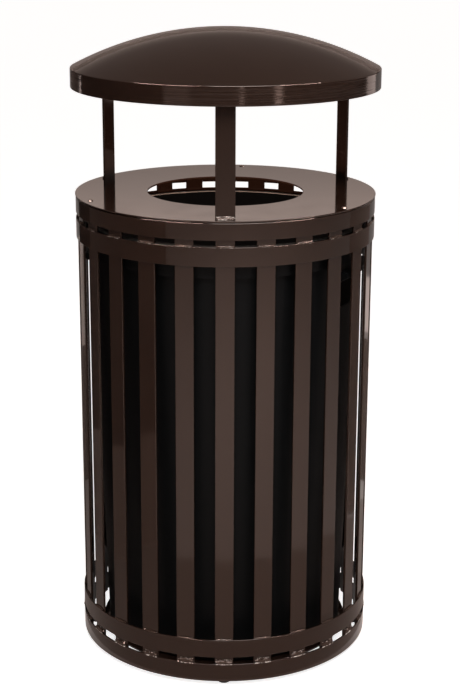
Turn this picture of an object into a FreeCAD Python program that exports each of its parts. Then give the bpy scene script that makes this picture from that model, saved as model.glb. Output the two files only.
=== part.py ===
import FreeCAD, Part
import math
import os
import Sketcher

# Outdoor trash can: a cage of steel slats in four rolled rings, a lift-off lid whose three
# posts carry a spun rain bonnet, a tapered plastic liner, and four levelling feet.
# Millimetres, +Z up, origin on the ground below the centre, front of the can along -Y.
# Azimuths are counted from the front towards the right-hand side.

SIZES = [
    # cage
    ("ring_radius", "305", "outside of the rolled rings"),
    ("ring_thick", "3.2", "flat bar of the rings"),
    ("bar_thick", "4.8", "flat bar of slats, posts and base"),
    ("ring_height", "38", "width of the ring bar"),
    ("top_ring_height", "34", "width of the topmost ring"),
    ("gap_low", "15", "between the two lower rings"),
    ("gap_high", "13", "between the two upper rings"),
    ("body_height", "947", "underside of bottom ring to top of cage"),
    ("front_slats", "9", "slats at the wider pitch, an odd number with the middle one in front"),
    ("front_pitch", "15", "angle between those slats"),
    ("back_slats", "17", "slats spread over the rest of the cage, an odd number"),
    ("slat_width", "37", "face of one slat"),
    ("weld_gap", "0.05", "fit-up gap of welded pieces"),
    # base and levelling feet
    ("foot_drop", "10", "ground to underside of bottom ring"),
    ("base_bar_width", "38", "bars under the floor plate"),
    ("base_bar_lift", "6", "bars above underside of bottom ring"),
    ("stub_clear", "0.7", "end of the side bars to the slats, which stand askew to them"),
    ("plate_clear", "8.2", "floor plate to the nuts"),
    ("plate_thick", "4", "floor plate"),
    ("anchor_radius", "7", "anchor bolt hole"),
    ("leveller_inset", "21.8", "inside of the rings to the levelling studs"),
    ("stud_radius", "4.7", "levelling stud"),
    ("stud_run", "0.4", "stud to nut, all round"),
    ("stud_slack", "0.8", "stud to bar, all round"),
    ("stud_spare", "4", "stud above its nut"),
    ("nut_radius", "9.8", "nut over its corners"),
    ("nut_height", "8", "weld nut"),
    ("pad_radius", "14", "glide pad"),
    ("pad_height", "7", "glide pad"),
    ("pad_neck", "8", "top of the glide pad"),
    ("pad_floor", "3", "pad below its stud"),
    ("pad_bevel", "2", "lower edge of the pad"),
    # lid
    ("rest_gap", "0.3", "resting faces of parts that lift out"),
    ("lid_overhang", "1", "lid plate past the rings"),
    ("lid_thick", "3.4", "lid plate"),
    ("mouth_radius", "159", "opening in the lid"),
    ("post_width", "38", "posts of the bonnet"),
    ("post_inset", "21", "edge of the lid to the middle of the posts"),
    ("post_count", "3", "posts of the bonnet"),
    ("lug_count", "3", "locating lugs below the lid"),
    ("lug_azimuth", "53", "first lug, between two slats"),
    ("lug_thick", "3", "angle of the lug"),
    ("lug_width", "18", "angle of the lug"),
    ("lug_leg", "19", "leg below the lid plate"),
    ("lug_drop", "22", "leg inside the top ring"),
    ("lug_play", "0.8", "lug face to top ring"),
    ("rivet_inset", "12", "face of the lug to the rivet"),
    ("rivet_radius", "2.4", "shank"),
    ("rivet_head", "5", "radius of the domed head"),
    ("rivet_dome", "2.4", "height of the domed head"),
    ("rivet_tail", "4", "radius of the closed end"),
    ("tail_height", "1.5", "closed end"),
    # bonnet
    ("bonnet_overhang", "5", "bonnet rim past the lid"),
    ("bonnet_lift", "214", "lid to lower edge of the rim"),
    ("rim_height", "37.5", "straight rim of the bonnet"),
    ("dome_rise", "77", "dome above the rim"),
    ("bonnet_thick", "2", "spun sheet"),
    ("bonnet_edge", "2.5", "rounding between rim and dome"),
    # liner
    ("liner_wall", "3.5", "plastic wall"),
    ("collar_play", "10.4", "collar to the slats"),
    ("neck_step", "8.5", "outside of the collar to the wall below it"),
    ("liner_taper", "27.5", "wall at the floor nearer to the centre than at the collar"),
    ("collar_drop", "61", "height of the collar"),
    ("collar_thick", "3", "plastic of the collar"),
    ("liner_below_lid", "54", "top of lid to top of liner"),
    ("liner_azimuth", "72", "one of the two hand-holds"),
    ("hand_below_rim", "101", "top of liner to top of hand-hold"),
    ("hand_height", "52", "hand-hold opening"),
    ("hand_width", "166", "hand-hold opening"),
    ("hand_round", "16", "corners of the hand-hold"),
    ("lip_play", "5.4", "lip over a hand-hold to the slats"),
    ("lip_rise", "11", "top of the hand-hold to the outer edge of the lip"),
    ("lip_edge", "9", "thickness of that edge"),
    ("lip_root", "24", "height of the lip at the wall"),
    ("lip_angle", "32", "angle the lip runs round the liner"),
    ("foot_round", "12", "outer lower edge of the liner"),
    ("mouth_round", "2.5", "top edges of the collar"),
]

# Sizes that follow from the ones above.
DERIVED = [
    ("ring_inner", "=ring_radius - ring_thick"),
    ("front_sweep", "=(front_slats - 1) * front_pitch"),
    ("back_pitch", "=(360 - front_sweep) / (back_slats + 1)"),
    ("slat_half", "=slat_width / 2"),
    ("slat_face", "=sqrt((ring_inner - weld_gap)^2 - slat_half^2)"),
    ("slat_back", "=slat_face - bar_thick"),
    ("cage_top", "=foot_drop + body_height"),
    ("bottom_ring_top", "=foot_drop + ring_height"),
    ("lower_ring_z", "=bottom_ring_top + gap_low"),
    ("lower_ring_top", "=lower_ring_z + ring_height"),
    ("top_ring_z", "=cage_top - top_ring_height"),
    ("upper_ring_top", "=top_ring_z - gap_high"),
    ("upper_ring_z", "=upper_ring_top - ring_height"),
    ("bar_z", "=foot_drop + base_bar_lift"),
    ("bar_top", "=bar_z + bar_thick"),
    ("bar_half", "=base_bar_width / 2"),
    ("bar_reach", "=slat_back - weld_gap"),
    ("bar_stub", "=bar_half + weld_gap"),
    ("stub_reach", "=slat_back - stub_clear"),
    ("leveller_circle", "=ring_inner - leveller_inset"),
    ("plate_radius", "=leveller_circle - nut_radius - plate_clear"),
    ("plate_top", "=bar_top + plate_thick"),
    ("nut_top", "=bar_top + nut_height"),
    ("nut_bore", "=stud_radius + stud_run"),
    ("bar_hole", "=stud_radius + stud_slack"),
    ("stud_top", "=nut_top + stud_spare"),
    ("pad_foot", "=pad_radius - pad_bevel"),
    ("pad_shoulder", "=pad_height - pad_bevel"),
    ("lid_radius", "=ring_radius + lid_overhang"),
    ("lid_z", "=cage_top + rest_gap"),
    ("lid_top", "=lid_z + lid_thick"),
    ("post_half", "=post_width / 2"),
    ("post_back", "=lid_radius - post_inset - bar_thick / 2"),
    ("bonnet_radius", "=lid_radius + bonnet_overhang"),
    ("rim_z", "=lid_top + bonnet_lift"),
    ("rim_top", "=rim_z + rim_height"),
    ("apex", "=rim_top + dome_rise"),
    ("dome_sphere", "=(bonnet_radius^2 + dome_rise^2) / (2 * dome_rise)"),
    ("dome_centre", "=apex - dome_sphere"),
    ("dome_inside", "=dome_sphere - bonnet_thick"),
    ("post_sphere", "=dome_inside - weld_gap"),
    ("rim_inside", "=bonnet_radius - bonnet_thick"),
    ("lug_face", "=ring_inner - lug_play"),
    ("lug_back", "=lug_face - lug_thick"),
    ("rivet_circle", "=lug_face - rivet_inset"),
    ("lug_inner", "=lug_face - lug_leg"),
    ("lug_under", "=lid_z - lug_thick"),
    ("lug_foot", "=lid_z - lug_drop"),
    ("tail_z", "=lug_under - tail_height"),
    ("rivet_sphere", "=(rivet_head^2 + rivet_dome^2) / (2 * rivet_dome)"),
    ("rivet_apex", "=lid_top + rivet_dome"),
    ("rivet_centre", "=rivet_apex - rivet_sphere"),
    ("collar_radius", "=slat_back - collar_play"),
    ("liner_neck", "=collar_radius - neck_step"),
    ("liner_foot", "=liner_neck - liner_taper"),
    ("lip_radius", "=slat_back - lip_play"),
    ("liner_z", "=plate_top + rest_gap"),
    ("liner_top", "=lid_top - liner_below_lid"),
    ("liner_floor", "=liner_z + liner_wall"),
    ("liner_foot_in", "=liner_foot - liner_wall"),
    ("liner_neck_in", "=liner_neck - liner_wall"),
    ("collar_z", "=liner_top - collar_drop"),
    ("collar_web", "=liner_top - collar_thick"),
    ("collar_in", "=collar_radius - collar_thick"),
    ("hand_top", "=liner_top - hand_below_rim"),
    ("hand_z", "=hand_top - hand_height"),
    ("wall_rise", "=(liner_neck - liner_foot) / (collar_web - liner_z)"),
    ("lip_foot", "=liner_foot + wall_rise * (hand_top - liner_z) - liner_wall / 2"),
    ("lip_edge_z", "=hand_top + lip_rise"),
    ("lip_edge_top", "=lip_edge_z + lip_edge"),
    ("lip_top", "=hand_top + lip_root"),
]

doc = FreeCAD.newDocument("TrashCan")
dims = doc.addObject("Spreadsheet::Sheet", "Dims")
for row, (alias, text, note) in enumerate(SIZES, start=1):
    dims.set(f"A{row}", note)
    dims.set(f"B{row}", text)
    dims.setAlias(f"B{row}", alias)
for row, (alias, text) in enumerate(DERIVED, start=len(SIZES) + 1):
    dims.set(f"A{row}", alias.replace("_", " "))
    dims.set(f"B{row}", text)
    dims.setAlias(f"B{row}", alias)
doc.recompute()

UP = FreeCAD.Vector(0, 0, 1)
AXIS = None
nodes = []


def size(alias):
    """Value of one named size; AXIS stands for zero."""
    return 0.0 if alias is AXIS else float(dims.get(alias))


def keep(obj, label):
    """Names a finished piece and lists it for export."""
    obj.Label = label
    nodes.append(obj)
    return obj


def bind(obj, **sizes):
    """Ties properties of an object to expressions over the sheet."""
    for name, text in sizes.items():
        obj.setExpression(name.replace("__", "."), text)


def turned(obj, azimuth, r=None, z=None, side=None):
    """Turns an object so that its own +X looks outwards at an azimuth, and moves it out there."""
    angle = f"({azimuth}) * 1 deg - 90 deg"
    out = f"Dims.{r}" if r else "0"
    across = f"Dims.{side}" if side else "0"
    obj.Placement = FreeCAD.Placement(FreeCAD.Vector(), FreeCAD.Rotation(UP, 1))
    obj.setExpression("Placement.Rotation.Angle", angle)
    obj.setExpression("Placement.Base.x", f"({out}) * cos({angle}) + ({across}) * sin({angle})")
    obj.setExpression("Placement.Base.y", f"({out}) * sin({angle}) - ({across}) * cos({angle})")
    obj.setExpression("Placement.Base.z", f"Dims.{z}" if z else "0")
    return obj


def new_sketch(body, name, plane):
    sketch = body.newObject("Sketcher::SketchObject", name)
    origin = [f for f in body.Origin.OriginFeatures if f.Role == plane][0]
    sketch.AttachmentSupport = [(origin, "")]
    sketch.MapMode = "FlatFace"
    return sketch


def pin(sketch, edge, end, x, y):
    """Holds one end of an edge at named distances from the sketch axes."""
    for kind, alias, axis in (("DistanceX", x, -2), ("DistanceY", y, -1)):
        if alias is AXIS:
            sketch.addConstraint(Sketcher.Constraint("PointOnObject", edge, end, axis))
        elif alias:
            hold(sketch, Sketcher.Constraint(kind, -1, 1, edge, end, size(alias)), alias)


def hold(sketch, constraint, alias):
    number = sketch.addConstraint(constraint)
    name = f"c{number}"
    sketch.renameConstraint(number, name)
    sketch.setExpression(f"Constraints.{name}", f"Dims.{alias}")


def close(sketch, edges, backwards=None):
    """Joins edges into a ring, each to the next; one of them may run the other way."""
    ends = {edge: (2, 1) if edge == backwards else (1, 2) for edge in edges}
    for edge, following in zip(edges, [*edges[1:], edges[0]]):
        sketch.addConstraint(Sketcher.Constraint("Coincident", edge, ends[edge][1],
                                                 following, ends[following][0]))


def polygon(sketch, corners):
    """Closed outline through corners given as pairs of named sizes."""
    points = [FreeCAD.Vector(size(x), size(y), 0) for x, y in corners]
    count = len(points)
    for i in range(count):
        sketch.addGeometry(Part.LineSegment(points[i], points[(i + 1) % count]), False)
    close(sketch, range(count))
    for i, (x, y) in enumerate(corners):
        pin(sketch, i, 1, x, y)


def revolve(body, name, sketch, angle=None):
    """Turns a sketch about the vertical axis, all the way or over a named angle."""
    turn = body.newObject("PartDesign::Revolution", name)
    turn.Profile = sketch
    turn.ReferenceAxis = (sketch, ["V_Axis"])
    turn.Angle = 360
    if angle:
        turn.Midplane = True
        turn.setExpression("Angle", f"Dims.{angle} * 1 deg")
    sketch.Visibility = False
    doc.recompute()
    return turn


def turned_body(label, corners):
    """Body of revolution whose outline is given by its corners."""
    body = doc.addObject("PartDesign::Body", label)
    sketch = new_sketch(body, label + "_outline", "XZ_Plane")
    polygon(sketch, corners)
    revolve(body, label + "_turn", sketch)
    return body


def circles(shape, wanted):
    """Names of the circular edges that lie at the given radii and heights."""
    found = []
    for number, edge in enumerate(shape.Edges, start=1):
        if edge.Degenerated or not isinstance(edge.Curve, Part.Circle):
            continue
        for radius, height in wanted:
            near = abs(edge.Curve.Radius - radius) < 0.01
            if near and abs(edge.Curve.Center.z - height) < 0.01:
                found.append(f"Edge{number}")
    return found


def round_edges(body, name, radius, wanted):
    """Rounds circular edges, each given by the names of its radius and height."""
    base = body.Tip
    fillet = body.newObject("PartDesign::Fillet", name)
    fillet.Base = (base, circles(base.Shape, [(size(r), size(z)) for r, z in wanted]))
    fillet.setExpression("Radius", f"Dims.{radius}")
    doc.recompute()


def block(name, length, width, height):
    """Box with named or computed edges, its inner end on the plane of its own Y and Z."""
    box = doc.addObject("Part::Box", name)
    bind(box, Length=length, Width=width, Height=height)
    return box


def drill(name, radius, low, high, x="0", y="0"):
    """Drilling tool that runs past both faces of what it cuts."""
    tool = doc.addObject("Part::Cylinder", name)
    bind(tool, Radius=f"Dims.{radius}", Height=f"Dims.{high} - Dims.{low} + 2")
    bind(tool, Placement__Base__x=x, Placement__Base__y=y, Placement__Base__z=f"Dims.{low} - 1")
    return tool


def cut(name, blank, tools):
    """Blank with every tool taken out of it."""
    for number, tool in enumerate(tools):
        result = doc.addObject("Part::Cut", name if tool is tools[-1] else f"{name}_{number}")
        result.Base = blank
        result.Tool = tool
        blank = result
    return blank


# Rolled rings, from the ground up.
RINGS = [
    ("bottom_ring", "foot_drop", "bottom_ring_top"),
    ("lower_ring", "lower_ring_z", "lower_ring_top"),
    ("upper_ring", "upper_ring_z", "upper_ring_top"),
    ("top_ring", "top_ring_z", "cage_top"),
]
for label, low, high in RINGS:
    corners = [("ring_inner", low), ("ring_radius", low), ("ring_radius", high), ("ring_inner", high)]
    keep(turned_body(label, corners), label)

# Slats stand inside the rings, the first at the front and the others on from it to the right.
# Those round the front are set wider than those behind, which close the cage.
wing = int(size("front_slats")) // 2
azimuths = [f"{i} * Dims.front_pitch" for i in range(wing + 1)]
azimuths += [f"Dims.front_sweep / 2 + {i + 1} * Dims.back_pitch" for i in range(int(size("back_slats")))]
azimuths += [f"{i - wing} * Dims.front_pitch" for i in range(wing)]
for number, azimuth in enumerate(azimuths, start=1):
    slat = block(f"slat_bar_{number:02d}", "Dims.bar_thick", "Dims.slat_width", "Dims.body_height")
    turned(slat, azimuth, "slat_back", "foot_drop", "slat_half")
    keep(slat, f"slat_{number:02d}")

# Base: one bar from front to back, two stubs from the sides, a round floor plate on top.
SIDES = [("front", 0), ("right", 90), ("back", 180), ("left", 270)]
long_bar = block("long_bar", "2 * Dims.bar_reach", "Dims.base_bar_width", "Dims.bar_thick")
turned(long_bar, "0", None, "bar_z", "bar_half")
long_bar.setExpression("Placement.Base.y", "Dims.bar_reach")
anchor = drill("anchor_bar", "anchor_radius", "bar_z", "bar_top")
ends = [drill(f"bar_drill_{side}", "bar_hole", "bar_z", "bar_top", y=f"{way} * Dims.leveller_circle")
        for side, way in (("front", -1), ("back", 1))]
keep(cut("base_bar_cut", long_bar, [anchor] + ends), "base_bar")
for side, way, azimuth in (("right", 1, "90"), ("left", -1, "270")):
    stub = block(f"stub_{side}", "Dims.stub_reach - Dims.bar_stub", "Dims.base_bar_width", "Dims.bar_thick")
    turned(stub, azimuth, "bar_stub", "bar_z", "bar_half")
    hole = drill(f"stub_drill_{side}", "bar_hole", "bar_z", "bar_top", x=f"{way} * Dims.leveller_circle")
    keep(cut(f"stub_cut_{side}", stub, [hole]), f"base_stub_{side}")
plate = turned_body("base_plate", [("anchor_radius", "bar_top"), ("plate_radius", "bar_top"),
                                   ("plate_radius", "plate_top"), ("anchor_radius", "plate_top")])
keep(plate, "base_plate")

# Levelling feet: weld nut on the bar, stud through it, glide pad on the stud.
for side, azimuth in SIDES:
    hexagon = doc.addObject("Part::Prism", f"hexagon_{side}")
    hexagon.Polygon = 6
    bind(hexagon, Circumradius="Dims.nut_radius", Height="Dims.nut_height")
    turned(hexagon, str(azimuth), "leveller_circle", "bar_top")
    x = f"{round(math.sin(math.radians(azimuth)))} * Dims.leveller_circle"
    y = f"{-round(math.cos(math.radians(azimuth)))} * Dims.leveller_circle"
    bore = drill(f"nut_drill_{side}", "nut_bore", "bar_top", "nut_top", x, y)
    keep(cut(f"nut_cut_{side}", hexagon, [bore]), f"nut_{side}")
    stud = doc.addObject("Part::Cylinder", f"stud_rod_{side}")
    bind(stud, Radius="Dims.stud_radius", Height="Dims.stud_top - Dims.pad_floor")
    turned(stud, str(azimuth), "leveller_circle", "pad_floor")
    keep(stud, f"stud_{side}")
    pad = turned_body(f"pad_{side}", [
        (AXIS, AXIS), ("pad_foot", AXIS), ("pad_radius", "pad_bevel"), ("pad_radius", "pad_shoulder"),
        ("pad_neck", "pad_height"), ("stud_radius", "pad_height"), ("stud_radius", "pad_floor"),
        (AXIS, "pad_floor")])
    turned(pad, str(azimuth), "leveller_circle")
    keep(pad, f"pad_{side}")


def rivet_hole(sketch):
    """Circle of one rivet shank, out along the sketch's X axis."""
    place = FreeCAD.Vector(size("rivet_circle"), 0, 0)
    sketch.addGeometry(Part.Circle(place, UP, size("rivet_radius")), False)
    pin(sketch, 0, 3, "rivet_circle", AXIS)
    hold(sketch, Sketcher.Constraint("Radius", 0, size("rivet_radius")), "rivet_radius")


# Lid plate with its round mouth and the rivet holes.
lid = turned_body("lid_plate", [("mouth_radius", "lid_z"), ("lid_radius", "lid_z"),
                                ("lid_radius", "lid_top"), ("mouth_radius", "lid_top")])
lid_holes = new_sketch(lid, "lid_plate_hole", "XY_Plane")
rivet_hole(lid_holes)
lid_holes.setExpression("AttachmentOffset.Base.z", "Dims.lid_top")
pierce = lid.newObject("PartDesign::Pocket", "lid_plate_pierce")
pierce.Profile = lid_holes
pierce.setExpression("Length", "Dims.lid_thick")
lid_holes.Visibility = False
doc.recompute()
spread = lid.newObject("PartDesign::PolarPattern", "lid_plate_holes")
spread.Originals = [pierce]
spread.Axis = (lid_holes, ["N_Axis"])
spread.Angle = 360
lid.Tip = spread
spread.setExpression("Occurrences", "Dims.lug_count")
turned(lid, "Dims.lug_azimuth")
keep(lid, "lid_plate")

# Locating lugs hang between slats inside the top ring; one rivet holds each.
for i in range(int(size("lug_count"))):
    azimuth = f"Dims.lug_azimuth + {i} * 360 / Dims.lug_count"
    lug = doc.addObject("PartDesign::Body", f"lug_body_{i + 1}")
    angle = new_sketch(lug, f"lug_outline_{i + 1}", "XZ_Plane")
    polygon(angle, [("lug_inner", "lug_under"), ("lug_back", "lug_under"), ("lug_back", "lug_foot"),
                    ("lug_face", "lug_foot"), ("lug_face", "lid_z"), ("lug_inner", "lid_z")])
    pad = lug.newObject("PartDesign::Pad", f"lug_pad_{i + 1}")
    pad.Profile = angle
    pad.Midplane = True
    pad.setExpression("Length", "Dims.lug_width")
    angle.Visibility = False
    doc.recompute()
    mark = new_sketch(lug, f"lug_hole_{i + 1}", "XY_Plane")
    rivet_hole(mark)
    mark.setExpression("AttachmentOffset.Base.z", "Dims.lid_z")
    punch = lug.newObject("PartDesign::Pocket", f"lug_punch_{i + 1}")
    punch.Profile = mark
    punch.setExpression("Length", "Dims.lug_thick")
    mark.Visibility = False
    doc.recompute()
    turned(lug, azimuth)
    keep(lug, f"lid_lug_{i + 1}")

    rivet = doc.addObject("PartDesign::Body", f"rivet_body_{i + 1}")
    outline = new_sketch(rivet, f"rivet_outline_{i + 1}", "XZ_Plane")
    corners = [(AXIS, "tail_z"), ("rivet_tail", "tail_z"), ("rivet_tail", "lug_under"),
               ("rivet_radius", "lug_under"), ("rivet_radius", "lid_top"), ("rivet_head", "lid_top")]
    points = [FreeCAD.Vector(size(x), size(y), 0) for x, y in corners]
    for start, end in zip(points, points[1:]):
        outline.addGeometry(Part.LineSegment(start, end), False)
    centre = FreeCAD.Vector(0, size("rivet_centre"), 0)
    ball = Part.Circle(centre, UP, size("rivet_sphere"))
    low = math.atan2(size("lid_top") - size("rivet_centre"), size("rivet_head"))
    outline.addGeometry(Part.ArcOfCircle(ball, low, math.pi / 2), False)
    outline.addGeometry(Part.LineSegment(FreeCAD.Vector(0, size("rivet_apex"), 0), points[0]), False)
    dome, shank_axis = len(corners) - 1, len(corners)
    close(outline, range(shank_axis + 1))
    for edge, (x, y) in enumerate(corners):
        pin(outline, edge, 1, x, y)
    pin(outline, dome, 3, AXIS, "rivet_centre")
    outline.addConstraint(Sketcher.Constraint("PointOnObject", shank_axis, 1, -2))
    revolve(rivet, f"rivet_turn_{i + 1}", outline)
    turned(rivet, azimuth, "rivet_circle")
    keep(rivet, f"lid_rivet_{i + 1}")

# Bonnet: shallow spun dome with a straight rim, one sheet thickness throughout.
bonnet = doc.addObject("PartDesign::Body", "bonnet_body")
shell = new_sketch(bonnet, "bonnet_outline", "XZ_Plane")
centre = FreeCAD.Vector(0, size("dome_centre"), 0)
rim_out = FreeCAD.Vector(size("bonnet_radius"), size("rim_top"), 0)
low_out = FreeCAD.Vector(size("bonnet_radius"), size("rim_z"), 0)
low_in = FreeCAD.Vector(size("rim_inside"), size("rim_z"), 0)
inside_rise = math.sqrt(size("dome_inside") ** 2 - size("rim_inside") ** 2)
rim_in = FreeCAD.Vector(size("rim_inside"), size("dome_centre") + inside_rise, 0)
top_in = FreeCAD.Vector(0, size("dome_centre") + size("dome_inside"), 0)
top_out = FreeCAD.Vector(0, size("apex"), 0)
rim_wall = shell.addGeometry(Part.LineSegment(rim_out, low_out), False)
rim_foot = shell.addGeometry(Part.LineSegment(low_out, low_in), False)
rim_back = shell.addGeometry(Part.LineSegment(low_in, rim_in), False)
arcs = []
for sphere, start in (("dome_inside", rim_in), ("dome_sphere", rim_out)):
    low = math.atan2(start.y - centre.y, start.x)
    ball = Part.Circle(centre, UP, size(sphere))
    arcs.append(shell.addGeometry(Part.ArcOfCircle(ball, low, math.pi / 2), False))
under, over = arcs
crown = shell.addGeometry(Part.LineSegment(top_in, top_out), False)
close(shell, [rim_wall, rim_foot, rim_back, under, crown, over], backwards=over)
pin(shell, rim_wall, 2, "bonnet_radius", "rim_z")
pin(shell, rim_foot, 2, "rim_inside", "rim_z")
for edge in (rim_wall, rim_back, crown):
    shell.addConstraint(Sketcher.Constraint("Vertical", edge))
for arc, sphere in ((under, "dome_inside"), (over, "dome_sphere")):
    pin(shell, arc, 3, AXIS, "dome_centre")
    hold(shell, Sketcher.Constraint("Radius", arc, size(sphere)), sphere)
shell.addConstraint(Sketcher.Constraint("PointOnObject", crown, 1, -2))
revolve(bonnet, "bonnet_turn", shell)
round_edges(bonnet, "bonnet_round", "bonnet_edge", [("bonnet_radius", "rim_top")])
keep(bonnet, "bonnet")

# Posts stand on the lid and are scribed to the underside of the dome.
scribe = doc.addObject("Part::Sphere", "dome_scribe")
bind(scribe, Radius="Dims.post_sphere", Placement__Base__z="Dims.dome_centre")
for turn, label in enumerate(("front", "right", "left")):
    bar = block(f"post_bar_{label}", "Dims.bar_thick", "Dims.post_width", "Dims.apex - Dims.lid_top")
    turned(bar, f"{turn} * 360 / Dims.post_count", "post_back", "lid_top", "post_half")
    post = doc.addObject("Part::Common", f"post_trim_{label}")
    post.Base = bar
    post.Tool = scribe
    keep(post, f"post_{label}")

# Liner: tapered pail with a turned-down collar and two hand-holds under lips.
liner = turned_body("liner", [
    (AXIS, "liner_z"), ("liner_foot", "liner_z"), ("liner_neck", "collar_web"), ("collar_in", "collar_web"),
    ("collar_in", "collar_z"), ("collar_radius", "collar_z"), ("collar_radius", "liner_top"),
    ("liner_neck_in", "liner_top"), ("liner_foot_in", "liner_floor"), (AXIS, "liner_floor")])
round_edges(liner, "liner_foot_round", "foot_round", [("liner_foot", "liner_z")])
round_edges(liner, "liner_mouth_round", "mouth_round", [("collar_radius", "liner_top")])
lip_outline = new_sketch(liner, "lip_outline", "XZ_Plane")
polygon(lip_outline, [("lip_foot", "hand_top"), ("lip_radius", "lip_edge_z"),
                      ("lip_radius", "lip_edge_top"), ("lip_foot", "lip_top")])
lip = revolve(liner, "lip_turn", lip_outline, "lip_angle")
lips = liner.newObject("PartDesign::PolarPattern", "lip_pair")
lips.Originals = [lip]
lips.Axis = (lip_outline, ["V_Axis"])
lips.Angle = 360
liner.Tip = lips
lips.Occurrences = 2
doc.recompute()
slot = new_sketch(liner, "hand_outline", "YZ_Plane")
half = size("hand_width") / 2
round_off = size("hand_round")
low, high = size("hand_z"), size("hand_top")
inner_x, inner_low, inner_high = half - round_off, low + round_off, high - round_off
EDGES = [((-inner_x, low), (inner_x, low)), ((half, inner_low), (half, inner_high)),
         ((inner_x, high), (-inner_x, high)), ((-half, inner_high), (-half, inner_low))]
CORNERS = [(inner_x, inner_low, -90), (inner_x, inner_high, 0),
           (-inner_x, inner_high, 90), (-inner_x, inner_low, 180)]
for start, end in EDGES:
    slot.addGeometry(Part.LineSegment(FreeCAD.Vector(*start, 0), FreeCAD.Vector(*end, 0)), False)
for x, y, begin in CORNERS:
    ball = Part.Circle(FreeCAD.Vector(x, y, 0), UP, round_off)
    slot.addGeometry(Part.ArcOfCircle(ball, math.radians(begin), math.radians(begin + 90)), False)
for i in range(4):
    slot.addConstraint(Sketcher.Constraint("Tangent", i, 2, 4 + i, 1))
    slot.addConstraint(Sketcher.Constraint("Tangent", 4 + i, 2, (i + 1) % 4, 1))
    hold(slot, Sketcher.Constraint("Radius", 4 + i, round_off), "hand_round")
slot.addConstraint(Sketcher.Constraint("Vertical", 1))
slot.addConstraint(Sketcher.Constraint("Symmetric", 0, 1, 0, 2, -2))
hold(slot, Sketcher.Constraint("DistanceX", 3, 1, 1, 2, size("hand_width")), "hand_width")
hold(slot, Sketcher.Constraint("DistanceY", -1, 1, 0, 1, low), "hand_z")
hold(slot, Sketcher.Constraint("DistanceY", -1, 1, 2, 1, high), "hand_top")
hands = liner.newObject("PartDesign::Pocket", "hand_holes")
hands.Profile = slot
hands.Midplane = True
hands.setExpression("Length", "2 * Dims.ring_radius")
slot.Visibility = False
doc.recompute()
turned(liner, "Dims.liner_azimuth")
keep(liner, "liner")

doc.recompute()
faults = [o.Label for o in doc.Objects if "Invalid" in o.State or "Error" in o.State]
for node in nodes:
    if node.Shape.isNull() or not node.Shape.isValid() or len(node.Shape.Solids) != 1:
        faults.append(node.Label)
if faults:
    raise RuntimeError("pieces to mend: " + ", ".join(sorted(set(faults))))

os.makedirs("parts", exist_ok=True)
for node in nodes:
    node.Shape.exportStep(f"parts/{node.Label}.step")
print(len(nodes), "pieces written")
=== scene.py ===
# %% [markdown]
# # Outdoor trash can
# The can is a cage of flat steel bars under one thick coat of brown powder paint. Inside it
# stands a black plastic liner, and on it lies a lid whose three posts carry a rain bonnet.
# The frame brings the solids at their real size and place. This lesson gives each piece the
# eased edges, welds and finish that the eye sees, and leaves every size as it is.

import math

import bmesh
import bpy
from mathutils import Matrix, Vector


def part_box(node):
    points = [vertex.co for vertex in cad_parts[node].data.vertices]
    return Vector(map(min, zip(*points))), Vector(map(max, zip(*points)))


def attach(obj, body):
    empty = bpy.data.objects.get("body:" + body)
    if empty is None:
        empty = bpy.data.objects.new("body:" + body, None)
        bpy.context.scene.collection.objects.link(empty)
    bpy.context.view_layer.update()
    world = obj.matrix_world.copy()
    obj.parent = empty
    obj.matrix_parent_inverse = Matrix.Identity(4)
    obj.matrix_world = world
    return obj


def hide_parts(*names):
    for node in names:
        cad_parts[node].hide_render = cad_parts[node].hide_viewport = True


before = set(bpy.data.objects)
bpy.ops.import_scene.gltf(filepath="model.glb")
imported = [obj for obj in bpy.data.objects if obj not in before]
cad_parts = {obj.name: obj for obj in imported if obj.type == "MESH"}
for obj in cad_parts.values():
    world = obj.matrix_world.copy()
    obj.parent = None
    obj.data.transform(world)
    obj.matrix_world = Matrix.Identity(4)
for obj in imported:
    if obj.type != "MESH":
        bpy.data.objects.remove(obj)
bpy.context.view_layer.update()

# %% [markdown]
# ## Colours and nodes
# Paint colours are easiest to note as sRGB hex values, but shader sockets want linear light,
# so one function converts them. A second one adds any node, sets its properties and fills its
# sockets with values or links. The others are short words for nodes that come up often, such
# as a noise or a mix of two colours. With these a material reads like a list of its layers.

# %% Colour and node helpers
MM = 0.001
UNIT = (0, 1)
# Numbers of the colour sockets of a mix node
MIX_A, MIX_B, MIX_RESULT = 6, 7, 2


def linear(hex_colour):
    """sRGB hex to linear RGBA."""
    parts = [int(hex_colour[i:i + 2], 16) / 255 for i in (1, 3, 5)]
    return [p / 12.92 if p <= 0.04045 else ((p + 0.055) / 1.055) ** 2.4 for p in parts] + [1.0]


def add(tree, kind, sockets=None, **settings):
    """Adds one node; sockets are given by name or number, each with a value or a link."""
    node = tree.nodes.new(kind)
    for name, value in settings.items():
        setattr(node, name, value)
    for name, value in (sockets or {}).items():
        if isinstance(value, bpy.types.NodeSocket):
            tree.links.new(value, node.inputs[name])
        else:
            node.inputs[name].default_value = value
    return node


def maths(tree, operation, *values):
    """Result of one operation on links or numbers."""
    return add(tree, "ShaderNodeMath", dict(enumerate(values)), operation=operation).outputs[0]


def vector(tree, **axes):
    """Vector whose axes are links or numbers."""
    return add(tree, "ShaderNodeCombineXYZ", axes).outputs[0]


def height_of(tree, spot):
    """Third part of a vector: the height of a spot, or the rise of a direction."""
    return add(tree, "ShaderNodeSeparateXYZ", {0: spot}).outputs["Z"]


def noise(tree, spot, width, detail):
    """Cloudy noise with patches of one width."""
    cloud = add(tree, "ShaderNodeTexNoise", {"Vector": spot, "Scale": 1 / width, "Detail": detail})
    return cloud.outputs["Fac"]


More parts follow.
